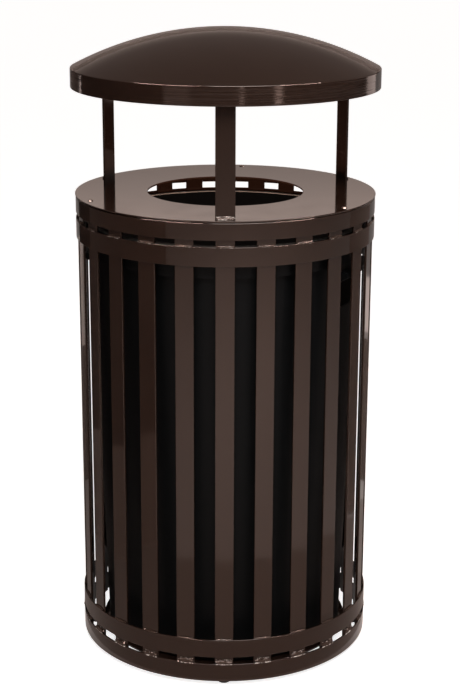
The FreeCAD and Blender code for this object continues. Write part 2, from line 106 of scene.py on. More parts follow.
def ranged(tree, value, source, target):
    """Value taken from one range to another."""
    return add(tree, "ShaderNodeMapRange", {
        "Value": value, "From Min": source[0], "From Max": source[1],
        "To Min": target[0], "To Max": target[1]}).outputs[0]


def mixed(tree, factor, first, second):
    """Colour between two, each a link or a linear colour."""
    sockets = {"Factor": factor, MIX_A: first, MIX_B: second}
    return add(tree, "ShaderNodeMix", sockets, data_type="RGBA").outputs[MIX_RESULT]


def object_spot(tree):
    """Spot on the object that is being shaded."""
    return add(tree, "ShaderNodeTexCoord").outputs["Object"]


def new_material(name):
    """Material with its tree, which is empty."""
    material = bpy.data.materials.new(name)
    material.use_nodes = True
    material.node_tree.nodes.clear()
    return material, material.node_tree


def cover(tree, shader):
    """Makes a shader the surface of a material."""
    add(tree, "ShaderNodeOutputMaterial", {"Surface": shader.outputs[0]})


print("mid grey #808080 is", round(linear("#808080")[0], 3), "in linear light")

# %% [markdown]
# ## Powder coat
# Polyester powder is sprayed on dry and baked, so it flows out to a hard semi-gloss skin that
# is a little wavy, like orange peel. The waves are only microns deep: they bend reflections
# without hiding them, so the bump has a true depth in metres. A broad noise shifts the brown
# by a few percent, as film thickness does, and makes the gloss uneven. On the toes of the
# welds, near-white blotches in the colour are painted glints. On the bonnet's rim a bump
# follows the tool lines of the spinning, which a noise long round the rim and short up it gives.

# %% Powder coat finishes
COAT_BROWN, COAT_THIN = "#20140F", "#271A14"
WELD_BROWN, WELD_THIN = "#281B16", "#44352D"
# The toe coat's near-white tone is painted glints: pale blotches that stand for highlights on the weld toes.
TOE_BROWN, TOE_PAINTED_GLINT = "#4A3C35", "#E6D9D0"
COAT_SHEEN = "#FFECE3"
COAT_IOR = 1.55
COAT_GLOSS = (0.06, 0.10)
GLOSS_RANGE = (0.3, 0.7)
FILM_WIDTH, FILM_DETAIL = 60 * MM, 3
PEEL_WIDTH, PEEL_DETAIL, PEEL_DEPTH = 2.0 * MM, 1, 0.003 * MM
WELD_DEPTH = 0.03 * MM
# Width and threshold of the toe coat's blotches, which are painted glints.
GLINT_BLOTCH_WIDTH = 5 * MM
GLINT_BLOTCH_RANGE = (0.45, 0.55)
SPIN_LENGTH, SPIN_PITCH, SPIN_DETAIL, SPIN_DEPTH = 250 * MM, 3.0 * MM, 2, 0.5 * MM
RIM_HEIGHT = 37.5 * MM
BONNET_EDGE = 2.5 * MM


def powder_coat(name, dark=COAT_BROWN, pale=COAT_THIN, peel_depth=PEEL_DEPTH, patch_width=FILM_WIDTH,
                patch_range=UNIT, spun_below=None):
    """Powder coat, pale where its film is thin, or on weld toes pale in blotches that are painted glints;
    below a height it can show the lines of spinning.
    """
    material, tree = new_material(name)
    spot = object_spot(tree)
    film_or_glints = noise(tree, spot, patch_width, FILM_DETAIL)
    # Where the noise passes the range the colour turns pale: thin film on bars, painted glints on weld toes.
    pale_film_or_glint = ranged(tree, film_or_glints, patch_range, UNIT)
    peel = noise(tree, spot, PEEL_WIDTH, PEEL_DETAIL)
    bump = add(tree, "ShaderNodeBump", {"Height": peel, "Strength": 1.0, "Distance": peel_depth})
    if spun_below:
        stretch = (1 / SPIN_LENGTH, 1 / SPIN_LENGTH, 1 / SPIN_PITCH)
        along = add(tree, "ShaderNodeMapping", {"Vector": spot, "Scale": stretch})
        bump = add(tree, "ShaderNodeBump", {
            "Height": noise(tree, along.outputs[0], 1, SPIN_DETAIL), "Distance": SPIN_DEPTH,
            "Strength": maths(tree, "LESS_THAN", height_of(tree, spot), spun_below),
            "Normal": bump.outputs[0]})
    cover(tree, add(tree, "ShaderNodeBsdfPrincipled", {
        "Base Color": mixed(tree, pale_film_or_glint, linear(dark), linear(pale)),
        "Roughness": ranged(tree, film_or_glints, GLOSS_RANGE, COAT_GLOSS), "IOR": COAT_IOR,
        "Specular Tint": linear(COAT_SHEEN), "Normal": bump.outputs[0]}))
    return material


rim_low, bonnet_high = (corner.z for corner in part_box("bonnet"))
rim_top = rim_low + RIM_HEIGHT
bar_coat = powder_coat("brown powder coat on steel bar")
weld_coat = powder_coat("brown powder coat over weld", WELD_BROWN, WELD_THIN, WELD_DEPTH)
# Weld toes: a coat whose near-white blotches are painted glints standing in for highlights.
toe_glint_coat = powder_coat("weld toe coat with painted glints", TOE_BROWN, TOE_PAINTED_GLINT, WELD_DEPTH,
                       patch_width=GLINT_BLOTCH_WIDTH, patch_range=GLINT_BLOTCH_RANGE)
spun_coat = powder_coat("brown powder coat on spun sheet", spun_below=rim_top - BONNET_EDGE)
print("coats:", " | ".join(coat.name for coat in (bar_coat, weld_coat, toe_glint_coat, spun_coat)))

# %% [markdown]
# ## Plastic, zinc and glide
# The liner is rotationally moulded polyethylene: black all through, satin, with a faint cloudy
# grain from the mould, and a pale highlight painted on top of its rim, which shows as one thin
# line inside the mouth. Nuts and studs are zinc plated, a bright metal with a patchy chromate
# bloom, and the rivets wear a thin lacquer. The glides are moulded nylon, slightly rough so that they slide.

# %% Other finishes
# Pale tone painted on top of the liner's rim as a highlight, and how far down it reaches.
RIM_PAINTED_HIGHLIGHT = "#A8A29D"
RIM_HIGHLIGHT_DEPTH = 1.0 * MM
PLASTIC_IOR = 1.5
GRAIN_DETAIL, GRAIN_DEPTH = 4, 0.02 * MM
BLOOM_DETAIL = 3


def moulded(name, dark, pale, grain, gloss, shine, highlight_above=None):
    """Moulded plastic with a cloudy grain of one width; its top edge can carry a painted pale highlight."""
    material, tree = new_material(name)
    spot = object_spot(tree)
    cloud = noise(tree, spot, grain, GRAIN_DETAIL)
    tone = mixed(tree, cloud, linear(dark), linear(pale))
    if highlight_above:
        # Above a height the tone turns pale: a painted highlight on the rim's top.
        painted_highlight = maths(tree, "GREATER_THAN", height_of(tree, spot), highlight_above)
        tone = mixed(tree, painted_highlight, tone, linear(RIM_PAINTED_HIGHLIGHT))
    bump = add(tree, "ShaderNodeBump", {"Height": cloud, "Distance": GRAIN_DEPTH})
    cover(tree, add(tree, "ShaderNodeBsdfPrincipled", {
        "Base Color": tone, "Roughness": ranged(tree, cloud, UNIT, gloss), "IOR": PLASTIC_IOR,
        "Specular IOR Level": shine, "Normal": bump.outputs[0]}))
    return material


def plated(name, dark, pale, bloom, gloss):
    """Metal under a thin film that is patchy over a given width."""
    material, tree = new_material(name)
    spot = object_spot(tree)
    patches = noise(tree, spot, bloom, BLOOM_DETAIL)
    cover(tree, add(tree, "ShaderNodeBsdfPrincipled", {
        "Base Color": mixed(tree, patches, linear(dark), linear(pale)),
        "Roughness": ranged(tree, patches, UNIT, gloss), "Metallic": 1.0}))
    return material


liner_black = moulded("black moulded polyethylene", "#08090A", "#0E0F10", grain=9 * MM,
                      gloss=(0.38, 0.55), shine=0.1, highlight_above=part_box("liner")[1].z - RIM_HIGHLIGHT_DEPTH)
glide_nylon = moulded("dark moulded nylon", "#1E1A18", "#282321", grain=2 * MM, gloss=(0.45, 0.6),
                      shine=0.4)
zinc = plated("zinc plated steel", "#8E8F93", "#B9B7AE", bloom=6 * MM, gloss=(0.28, 0.45))
rivet_coat = plated("lacquered rivet steel", "#B9A79D", "#D6C6BC", bloom=3 * MM, gloss=(0.25, 0.35))
print("finishes:", liner_black.name, "|", glide_nylon.name, "|", zinc.name, "|", rivet_coat.name)

# %% [markdown]
# ## Turned pieces
# Rings, lid, bonnet, studs and glides are round, so one outline of radius and height, turned
# about the upright axis, gives each of them. Sheared and rolled bar never has a knife edge.
# Each corner of an outline carries its own small radius, and that rounding is what catches
# the thin line of light along the rings.

# %% Outlines and turning
TURN_STEPS = 192
CORNER_STEPS = 4
SHARP = math.radians(35)


def rounded(corners, steps=CORNER_STEPS):
    """Closed outline whose corners (radius, height, rounding) are replaced by arcs."""
    outline = []
    for i, (r, z, rounding) in enumerate(corners):
        here = Vector((r, z))
        before = (Vector(corners[i - 1][:2]) - here).normalized()
        after = (Vector(corners[(i + 1) % len(corners)][:2]) - here).normalized()
        half = before.angle(after) / 2
        centre = here + (before + after).normalized() * rounding / math.sin(half)
        start = here + before * rounding / math.tan(half) - centre
        end = here + after * rounding / math.tan(half) - centre
        for k in range(steps + 1 if rounding else 1):
            outline.append(centre + start.lerp(end, k / steps).normalized() * rounding)
    return outline


def turned(outline, closed=True, steps=TURN_STEPS, reach=lambda angle, r, z: r):
    """Mesh of an outline turned about Z; an open outline starts and ends on the axis."""
    shape = bmesh.new()
    rows = []
    for r, z in outline:
        row = []
        for k in range(steps if r > 0 else 1):
            angle = 2 * math.pi * k / steps
            out = reach(angle, r, z)
            row.append(shape.verts.new((out * math.sin(angle), -out * math.cos(angle), z)))
        rows.append(row)
    following = rows[1:] + rows[:1] if closed else rows[1:]
    for low, high in zip(rows, following):
        for k in range(steps):
            ring = [low[k % len(low)], low[(k + 1) % steps % len(low)],
                    high[(k + 1) % steps % len(high)], high[k % len(high)]]
            shape.faces.new(list(dict.fromkeys(ring)))
    bmesh.ops.recalc_face_normals(shape, faces=shape.faces)
    mesh = bpy.data.meshes.new("turned")
    shape.to_mesh(mesh)
    shape.free()
    return mesh


def flatten_shading(piece):
    """Weighs normals by face area, so that broad faces shade flat and only rounded edges turn."""
    weigh = piece.modifiers.new("weigh", "WEIGHTED_NORMAL")
    weigh.mode = "FACE_AREA"
    weigh.keep_sharp = True
    ready = piece.evaluated_get(bpy.context.evaluated_depsgraph_get())
    piece.data = bpy.data.meshes.new_from_object(ready)
    piece.modifiers.remove(weigh)


def place(name, mesh, finish, body, slot, *nodes):
    """Makes a mesh a piece of the can: finish, smooth shading, body and replaced nodes; slot is not used."""
    mesh.name = name
    mesh.materials.clear()
    mesh.materials.append(finish)
    mesh.shade_smooth()
    mesh.set_sharp_from_angle(angle=SHARP)
    piece = bpy.data.objects.new(name, mesh)
    bpy.context.collection.objects.link(piece)
    flatten_shading(piece)
    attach(piece, body)
    if nodes:
        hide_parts(*nodes)
    print(f"{name}: {len(piece.data.polygons)} faces, rides on {body}")


print("turned pieces have", TURN_STEPS, "steps round")

# %% Rings and lid plate
RING_BAR = 3.2 * MM
BAR = 4.8 * MM
BAR_EDGE = 1.1 * MM
RING_EDGE = 0.6 * MM
SEAT_EDGE = 2.5 * MM
LID_EDGE = 0.8 * MM
LID_UNDERCUT = 2.0 * MM
SHEET_EDGE = 0.6 * MM
MOUTH_RADIUS = 159 * MM


def radius_of(node):
    """Outer radius of a round node; its facets fall a few hundredths of a millimetre short."""
    return round(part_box(node)[1].x, 4)


def band(node, inner, edge, low_edge, high_edge):
    """Outline of a flat ring, out to the node's own radius; each outer edge has its own rounding."""
    low, high = (corner.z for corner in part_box(node))
    outer = radius_of(node)
    return rounded([(inner, low, edge), (outer, low, low_edge), (outer, high, high_edge),
                    (inner, high, edge)])


ring_radius = radius_of("top_ring")
for node in ("bottom_ring", "lower_ring", "upper_ring", "top_ring"):
    seat = SEAT_EDGE if node == "top_ring" else BAR_EDGE
    outline = band(node, ring_radius - RING_BAR, RING_EDGE, BAR_EDGE, seat)
    place(f"rolled_{node}", turned(outline), bar_coat, "cage", "powder_coat", node)
lid_outline = band("lid_plate", MOUTH_RADIUS, SHEET_EDGE, LID_UNDERCUT, LID_EDGE)
place("lid_top", turned(lid_outline), bar_coat, "lid", "powder_coat", "lid_plate")

# %% [markdown]
# ## Bonnet
# The bonnet is one disc of sheet, spun over a former: a shallow dome that breaks over a small
# radius into a straight rim. The dome is a part of a sphere, so its outline is an arc that
# follows from the rim's radius and the rise. The outline goes from the crown down the outside
# and back up the inside, which makes a closed shell with both crowns on the axis.

# %% Spun bonnet
BONNET_SHEET = 2 * MM
DOME_POINTS = 28


def dome_arc(centre, sphere, lowest):
    """Arc from the crown of a sphere down to a given height."""
    sweep = math.acos((lowest - centre) / sphere)
    angles = [sweep * k / DOME_POINTS for k in range(DOME_POINTS + 1)]
    return [Vector((sphere * math.sin(a), centre + sphere * math.cos(a))) for a in angles]


bonnet_radius = radius_of("bonnet")
rise = bonnet_high - rim_top
sphere = (bonnet_radius ** 2 + rise ** 2) / (2 * rise)
inner_sphere = sphere - BONNET_SHEET
dome_centre = bonnet_high - sphere
rim_inside = bonnet_radius - BONNET_SHEET
inside_top = dome_centre + math.sqrt(inner_sphere ** 2 - rim_inside ** 2)
outer = dome_arc(dome_centre, sphere, rim_top)
inner = dome_arc(dome_centre, inner_sphere, inside_top)
skirt = rounded([(outer[-2].x, outer[-2].y, 0), (bonnet_radius, rim_top, BONNET_EDGE),
                 (bonnet_radius, rim_low, SHEET_EDGE), (rim_inside, rim_low, SHEET_EDGE),
                 (inner[-1].x, inner[-1].y, 0)])
shell = turned(outer[:-2] + skirt + inner[-2::-1], closed=False)
place("spun_bonnet", shell, spun_coat, "lid", "powder_coat", "bonnet")

# %% [markdown]
# ## Slats and posts
# Twenty-six slats stand in the cage and three posts on the lid, all cut from flat bar with
# rolled edges. They repeat round a circle, so one Geometry Nodes tree makes them all: a
# rectangle with filleted corners is swept up a line, moved out to its radius, and set on one
# point per bar, each turned on from the last by one step. The slats come in two runs, because
# those round the front stand a little wider apart than those that close the back.

# %% Geometry Nodes helpers
# Turn that takes the X axis to the front of the can
FRONT = -math.pi / 2
ROUND_INPUTS = {"Count": "Int", "First": "Float", "Step": "Float", "Middle": "Float", "Finish": "Material"}


def new_tree(name, sizes):
    """Tree for what stands round the can; returns it with its input sockets and its output node."""
    tree = bpy.data.node_groups.new(name, "GeometryNodeTree")
    for label, kind in {**ROUND_INPUTS, **sizes}.items():
        tree.interface.new_socket(label, in_out="INPUT", socket_type=f"NodeSocket{kind}")
    tree.interface.new_socket("Geometry", in_out="OUTPUT", socket_type="NodeSocketGeometry")
    return tree, tree.nodes.new("NodeGroupInput").outputs, tree.nodes.new("NodeGroupOutput")


def set_round(tree, one, given):
    """Sets copies of one piece round the circle, from a first azimuth on by an even step."""
    index = add(tree, "GeometryNodeInputIndex").outputs[0]
    turn = maths(tree, "MULTIPLY_ADD", index, given["Step"], given["First"])
    points = add(tree, "GeometryNodePoints", {"Count": given["Count"]})
    copies = add(tree, "GeometryNodeInstanceOnPoints", {
        "Points": points.outputs[0], "Instance": one, "Rotation": vector(tree, Z=turn)})
    return add(tree, "GeometryNodeRealizeInstances", {0: copies.outputs[0]}).outputs[0]


def hand_out(tree, geometry, given, result):
    """Gives the geometry its finish and ends the tree with it."""
    painted = add(tree, "GeometryNodeSetMaterial", {"Geometry": geometry, "Material": given["Finish"]})
    tree.links.new(painted.outputs[0], result.inputs[0])


def grown(tree, **sizes):
    """Plain mesh of a tree, with its inputs set by socket identifier."""
    holder = bpy.data.objects.new("holder", bpy.data.meshes.new("holder"))
    bpy.context.collection.objects.link(holder)
    modifier = holder.modifiers.new("tree", "NODES")
    modifier.node_group = tree
    for item in tree.interface.items_tree:
        if item.in_out == "INPUT":
            modifier[item.identifier] = sizes[item.name.lower()]
    ready = holder.evaluated_get(bpy.context.evaluated_depsgraph_get())
    mesh = bpy.data.meshes.new_from_object(ready)
    holder.modifiers.remove(modifier)
    bpy.data.objects.remove(holder)
    return mesh


print("every tree takes:", ", ".join(ROUND_INPUTS))

# %% Tree of upright bars
bars, given, result = new_tree("upright bars", {
    "Thickness": "Float", "Width": "Float", "Foot": "Float", "Top": "Float", "Edge": "Float"})
section = add(bars, "GeometryNodeCurvePrimitiveQuadrilateral", {
    "Width": given["Thickness"], "Height": given["Width"]})
eased = add(bars, "GeometryNodeFilletCurve", {
    "Curve": section.outputs[0], "Radius": given["Edge"]}, mode="POLY")
eased.inputs["Count"].default_value = CORNER_STEPS
line = add(bars, "GeometryNodeCurvePrimitiveLine", {
    "Start": vector(bars, X=given["Middle"], Z=given["Foot"]),
    "End": vector(bars, X=given["Middle"], Z=given["Top"])})
bar = add(bars, "GeometryNodeCurveToMesh", {
    "Curve": line.outputs[0], "Profile Curve": eased.outputs[0], "Fill Caps": True})
hand_out(bars, set_round(bars, bar.outputs[0], given), given, result)
print("tree:", bars.name, "with", len(bars.nodes), "nodes")

# %% Slats
FRONT_SLATS = 9
FRONT_PITCH = math.radians(15)

slat_nodes = sorted(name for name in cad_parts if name.startswith("slat_"))
slat_low, slat_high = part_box(slat_nodes[0])
slat_middle = -(slat_low.y + slat_high.y) / 2
slat_width = slat_high.x - slat_low.x
wing = FRONT_SLATS // 2
sweep = wing * FRONT_PITCH
back_count = len(slat_nodes) - FRONT_SLATS
back_pitch = 2 * (math.pi - sweep) / (back_count + 1)
slat_groups = {
    "front": (FRONT_SLATS, -sweep, FRONT_PITCH, slat_nodes[:wing + 1] + slat_nodes[-wing:]),
    "back": (back_count, sweep + back_pitch, back_pitch, slat_nodes[wing + 1:-wing])}
for side, (count, first, step, nodes) in slat_groups.items():
    slats = grown(bars, count=count, first=FRONT + first, step=step, middle=slat_middle, thickness=BAR,
                  width=slat_width, foot=slat_low.z, top=slat_high.z, edge=BAR_EDGE, finish=bar_coat)
    place(f"slats_{side}", slats, bar_coat, "cage", "powder_coat", *nodes)

# %% Posts
THIRD = 2 * math.pi / 3

post_nodes = ["post_front", "post_right", "post_left"]
post_low, post_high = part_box("post_front")
post_middle = -(post_low.y + post_high.y) / 2
post_width = post_high.x - post_low.x
post_reach = math.hypot(post_middle + BAR / 2, post_high.x)
post_top = dome_centre + math.sqrt(inner_sphere ** 2 - post_reach ** 2)
posts = grown(bars, count=len(post_nodes), first=FRONT, step=THIRD, middle=post_middle, thickness=BAR,
              width=post_width, foot=post_low.z, top=post_top, edge=BAR_EDGE, finish=bar_coat)
place("posts", posts, bar_coat, "lid", "powder_coat", *post_nodes)

# %% [markdown]
# ## Welds
# Each slat is welded to the lower three rings along their upper edges, and each post to the lid
# and the bonnet. A hand-laid bead is a lumpy rope of metal, never a clean fillet, and the thick
# coat makes it shine. The tree sweeps a flattened circle, tilted like a fillet, along a short
# line, swells it with a ripple, sets one bead per bar and then pushes the points about with a
# fixed noise, so no two are alike. The same tree lays a narrow ridge along each toe of a bead,
# and the ridge's coat has pale blotches that are painted glints, highlights in the colour.

# %% Tree of weld beads
RIPPLES, RIPPLE_SWELL, BEAD_GIRTH = 7, 0.1, 0.95
BEAD_TAPER = 0.35
BEAD_FLAT = 0.6
LUMP_WIDTH, LUMP_DETAIL = 4 * MM, 2
LUMP_MIDDLE = (0.5, 0.5, 0.5)

beads, given, result = new_tree("weld beads", {
    "Height": "Float", "Length": "Float", "Bead": "Float", "Lean": "Float", "Lumps": "Float",
    "Steps": "Int", "Sides": "Int"})
ends = [vector(beads, X=given["Middle"], Y=maths(beads, "MULTIPLY", given["Length"], way), Z=given["Height"])
        for way in (-0.5, 0.5)]
run = add(beads, "GeometryNodeCurvePrimitiveLine", {"Start": ends[0], "End": ends[1]})
run = add(beads, "GeometryNodeResampleCurve", {"Curve": run.outputs[0], "Count": given["Steps"]})
along = add(beads, "GeometryNodeSplineParameter").outputs["Factor"]
ripple = maths(beads, "SINE", maths(beads, "MULTIPLY", along, RIPPLES * 2 * math.pi))
swell = maths(beads, "MULTIPLY_ADD", ripple, RIPPLE_SWELL, BEAD_GIRTH)
arch = maths(beads, "SINE", maths(beads, "MULTIPLY", along, math.pi))
girth = maths(beads, "MULTIPLY", swell, maths(beads, "POWER", arch, BEAD_TAPER))
rope = add(beads, "GeometryNodeCurvePrimitiveCircle", {
    "Radius": given["Bead"], "Resolution": given["Sides"]})
rope = add(beads, "GeometryNodeTransform", {
    "Geometry": rope.outputs[0], "Rotation": vector(beads, Z=given["Lean"]), "Scale": (1, BEAD_FLAT, 1)})
bead = add(beads, "GeometryNodeCurveToMesh", {
    "Curve": run.outputs[0], "Profile Curve": rope.outputs[0], "Scale": girth, "Fill Caps": True})
lump = add(beads, "ShaderNodeTexNoise", {"Scale": 1 / LUMP_WIDTH, "Detail": LUMP_DETAIL})
lump = add(beads, "ShaderNodeVectorMath", {
    0: lump.outputs["Color"], 1: LUMP_MIDDLE}, operation="SUBTRACT")
lump = add(beads, "ShaderNodeVectorMath", {
    0: lump.outputs[0], "Scale": given["Lumps"]}, operation="SCALE")
lumpy = add(beads, "GeometryNodeSetPosition", {
    "Geometry": set_round(beads, bead.outputs[0], given), "Offset": lump.outputs[0]})
hand_out(beads, lumpy.outputs[0], given, result)
print("tree:", beads.name, "with", len(beads.nodes), "nodes")

# %% Welds on rings and posts
BEAD_DETAIL = {"steps": 40, "sides": 16, "lumps": 1.0}
TOE_DETAIL = {"steps": 28, "sides": 6, "lumps": 1.1}
WELD_BITE = 0.5 * MM
RING_WELDS = {"bottom_ring": (9 * MM, 1.6 * MM), "lower_ring": (3 * MM, 0), "upper_ring": (4 * MM, 0.5 * MM)}
RING_SHORT = 2 * MM
FOOT_WELD, FOOT_TOE, FOOT_SHORT = 5 * MM, 2.6 * MM, 1 * MM
TOP_WELD, TOP_RISE, TOP_SHORT = 4 * MM, 5 * MM, 4 * MM


def bead_runs(name, body, around, inner, outer, foot, rise, length, finish, detail):
    """One bead per bar round the can, from a wall, some rise above a ledge, to the ledge's edge."""
    count, first, step = around
    bead = math.hypot(outer - inner, rise) / 2
    mesh = grown(beads, count=count, first=FRONT + first, step=step, middle=(inner + outer) / 2,
                 height=foot + rise / 2, length=length, bead=bead, lean=math.atan2(rise, outer - inner),
                 lumps=bead * detail["lumps"], steps=detail["steps"], sides=detail["sides"], finish=finish)
    place(name, mesh, finish, body, "powder_coat")


def weld(name, body, around, inner, outer, foot, rise, length, toe):
    """Fillets that bite a little into both bars, with a ridge of some width along each toe."""
    inner, outer, foot = inner - WELD_BITE, outer - WELD_BITE, foot - WELD_BITE
    bead_runs(f"welds_{name}", body, around, inner, outer, foot, rise, length, weld_coat, BEAD_DETAIL)
    # Each toe ridge wears the coat with painted glints.
    for end, out, high in (("high", inner, foot + rise), ("low", outer, foot)) if toe else ():
        bead_runs(f"toes_{name}_{end}", body, around, out - toe / 2, out + toe / 2, high - toe / 2, toe,
                  length, toe_glint_coat, TOE_DETAIL)


slat_face = slat_middle + BAR / 2
for node, (rise, toe) in RING_WELDS.items():
    for side, (*around, _) in slat_groups.items():
        weld(f"{node}_{side}", "cage", around, slat_face, radius_of(node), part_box(node)[1].z, rise,
             slat_width - RING_SHORT, toe)
post_face = post_middle + BAR / 2
around = (len(post_nodes), 0, THIRD)
weld("post_feet", "lid", around, post_face, post_face + FOOT_WELD, post_low.z, FOOT_WELD,
     post_width - FOOT_SHORT, FOOT_TOE)
weld("post_tops", "lid", around, post_face, post_face + TOP_WELD, post_top - TOP_WELD, TOP_RISE,
     post_width - TOP_SHORT, 0)

# %% [markdown]
# ## Rivets
# Three rivets hold the locating lugs under the lid. Each has a low dome above the plate and a
# wider closed end below the lug. The outline is turned once, and a small tree sets it round
# the lid.

# %% Rivets
RIVET_CIRCLE = 289 * MM
RIVET_FIRST = math.radians(53)
RIVET_HEAD, RIVET_SHANK, RIVET_TAIL = 5 * MM, 2.4 * MM, 4 * MM
TAIL_TIP, TAIL_BEVEL, TAIL_HEIGHT = 3.2 * MM, 0.4 * MM, 1.5 * MM
RIVET_STEPS = 32
CAP_POINTS = 8

rivet_low, rivet_high = (corner.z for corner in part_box("lid_rivet_1"))
lid_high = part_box("lid_plate")[1].z
tail_top = rivet_low + TAIL_HEIGHT
tail = [(0, rivet_low), (TAIL_TIP, rivet_low), (RIVET_TAIL, rivet_low + TAIL_BEVEL),
        (RIVET_TAIL, tail_top), (RIVET_SHANK, tail_top), (RIVET_SHANK, lid_high)]
cap = [(RIVET_HEAD * math.sin(a), lid_high + (rivet_high - lid_high) * math.cos(a))
       for a in (math.pi / 2 * k / CAP_POINTS for k in range(CAP_POINTS, 0, -1))]
rivet = turned(tail + cap + [(0, rivet_high)], closed=False, steps=RIVET_STEPS)
pattern = bpy.data.objects.new("rivet_pattern", rivet)

rivets, given, result = new_tree("rivets", {"Pattern": "Object"})
one = add(rivets, "GeometryNodeObjectInfo", {"Object": given["Pattern"]})
one = add(rivets, "GeometryNodeTransform", {
    "Geometry": one.outputs["Geometry"], "Translation": vector(rivets, X=given["Middle"])})
hand_out(rivets, set_round(rivets, one.outputs[0], given), given, result)
rivet_nodes = sorted(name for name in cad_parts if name.startswith("lid_rivet_"))
mesh = grown(rivets, count=len(rivet_nodes), first=FRONT + RIVET_FIRST, step=THIRD, middle=RIVET_CIRCLE,
             pattern=pattern, finish=rivet_coat)
place("rivets", mesh, rivet_coat, "lid", "rivet", *rivet_nodes)
bpy.data.objects.remove(pattern)

# %% [markdown]
# ## Pieces that keep their solid
# Lugs, base bars, nuts and the liner already have their exact shape in the frame, with holes
# and hand-holds. A copy of each mesh is merged, its flat faces are joined, and every sharp edge
# gets a small bevel. The original is left alone, and the copy is shown in its place.

# %% Eased copies
MERGE_GAP = 0.01 * MM
FLAT = math.radians(0.5)
BEVEL_STEPS = 2
SMALL_EDGE, BASE_EDGE, LINER_EDGE = 0.4 * MM, 0.5 * MM, 0.6 * MM


def eased_copy(node, edge):
    """Mesh of a node with its sharp edges bevelled by a small width."""
    shape = bmesh.new()
    shape.from_mesh(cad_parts[node].data)
    bmesh.ops.remove_doubles(shape, verts=shape.verts, dist=MERGE_GAP)
    bmesh.ops.dissolve_limit(shape, angle_limit=FLAT, verts=shape.verts, edges=shape.edges)
    sharp = [e for e in shape.edges if len(e.link_faces) == 2 and e.calc_face_angle() > SHARP]
    bmesh.ops.bevel(shape, geom=sharp, offset=edge, segments=BEVEL_STEPS, profile=0.5, affect="EDGES",
                    clamp_overlap=True)
    mesh = bpy.data.meshes.new(node)
    shape.to_mesh(mesh)
    shape.free()
    return mesh


for number in (1, 2, 3):
    lug = eased_copy(f"lid_lug_{number}", SMALL_EDGE)
    place(f"lug_angle_{number}", lug, bar_coat, "lid", "powder_coat", f"lid_lug_{number}")
for node in ("base_bar", "base_stub_right", "base_stub_left", "base_plate"):
    place(f"floor_{node}", eased_copy(node, BASE_EDGE), bar_coat, "cage", "powder_coat", node)
place("liner_pail", eased_copy("liner", LINER_EDGE), liner_black, "liner", "liner", "liner")

# %% [markdown]
# ## Levelling feet
# Each foot is a zinc-plated stud in a weld nut, with a nylon glide moulded on its end. The
# thread is a real helix: the stud is turned like the other round pieces, but its radius also
# depends on angle and height, so the crests climb by one pitch each turn.

# %% Levelling feet
PITCH = 1.75 * MM
THREAD_DEPTH = 0.6 * MM
ROWS_PER_PITCH = 8
STUD_STEPS = 36
PAD_STEPS = 48
PAD_CHAMFER = 2 * MM
PAD_CROWN = 8 * MM
PAD_EDGE, PAD_FOOT_ROUND, PAD_TOP_ROUND = 0.8 * MM, 1.0 * MM, 1.2 * MM


def thread(angle, r, z):
    """Radius of a threaded stud at one angle and height."""
    phase = 2 * math.pi * z / PITCH - angle
    return r - THREAD_DEPTH * (0.5 - 0.5 * math.cos(phase))


def moved(mesh, middle):
    """Mesh moved sideways from the axis of the can to another upright axis."""
    for vertex in mesh.vertices:
        vertex.co.xy += middle.xy
    return mesh


for side in ("front", "right", "back", "left"):
    body = f"leveller_{side}"
    low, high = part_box(f"stud_{side}")
    middle = (low + high) / 2
    stud_radius = (high.x - low.x) / 2
    rows = int((high.z - low.z) / PITCH * ROWS_PER_PITCH)
    wall = [(stud_radius, low.z + (high.z - low.z) * k / rows) for k in range(rows + 1)]
    stud = turned([(0, low.z)] + wall + [(0, high.z)], False, STUD_STEPS, thread)
    place(f"threaded_stud_{side}", moved(stud, middle), zinc, body, "zinc", f"stud_{side}")
    pad_low, pad_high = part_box(f"pad_{side}")
    pad_radius = (pad_high.x - pad_low.x) / 2
    top, foot = pad_high.z, pad_low.z
    rest = rounded([
        (0, foot, 0), (pad_radius - PAD_CHAMFER, foot, PAD_EDGE),
        (pad_radius, foot + PAD_CHAMFER, PAD_FOOT_ROUND), (pad_radius, top - PAD_CHAMFER, PAD_TOP_ROUND),
        (PAD_CROWN, top, PAD_EDGE), (stud_radius, top, 0), (stud_radius, low.z, 0), (0, low.z, 0)])
    glide = turned(rest, False, PAD_STEPS)
    place(f"glide_{side}", moved(glide, middle), glide_nylon, body, "glide", f"pad_{side}")
    nut = eased_copy(f"nut_{side}", SMALL_EDGE)
    place(f"weld_nut_{side}", nut, zinc, "cage", "zinc", f"nut_{side}")

# %% [markdown]
# ## Floor, light and camera
# The can stands on plain pale paper in soft light. Camera rays see the paper much brighter than
# it is lit, which makes the picture's background white while the shadow stays, and glossy rays
# see it a little brighter. A semi-gloss coat shows what stands round it, so the studio is built
# for its reflections. A warm band of lit wall near the horizon is what the lid mirrors, and
# above it the room is dim, so the dome keeps its brown. Grey cards, seen only by glossy rays,
# shade the slats to the left and right, and one far out on the floor darkens the bonnet's rim.
# Upright strip lamps draw the streaks on that rim, and two long edge lamps, which only gloss
# picks up, draw the bright line along its upper edge. One small lamp under the mouth stands for
# the light that the lid passes on into the can.

# %% Floor
PAPER = "#F3E3DC"
FLOOR_SIZE = 40.0
CAMERA_LIFT = 0.85
MIRROR_LIFT = 0.05


def rays(tree):
    """Sockets that tell a ray's kind, and one for glossy and transmitted rays together."""
    kinds = add(tree, "ShaderNodeLightPath").outputs
    return kinds, maths(tree, "MAXIMUM", kinds["Is Glossy Ray"], kinds["Is Transmission Ray"])


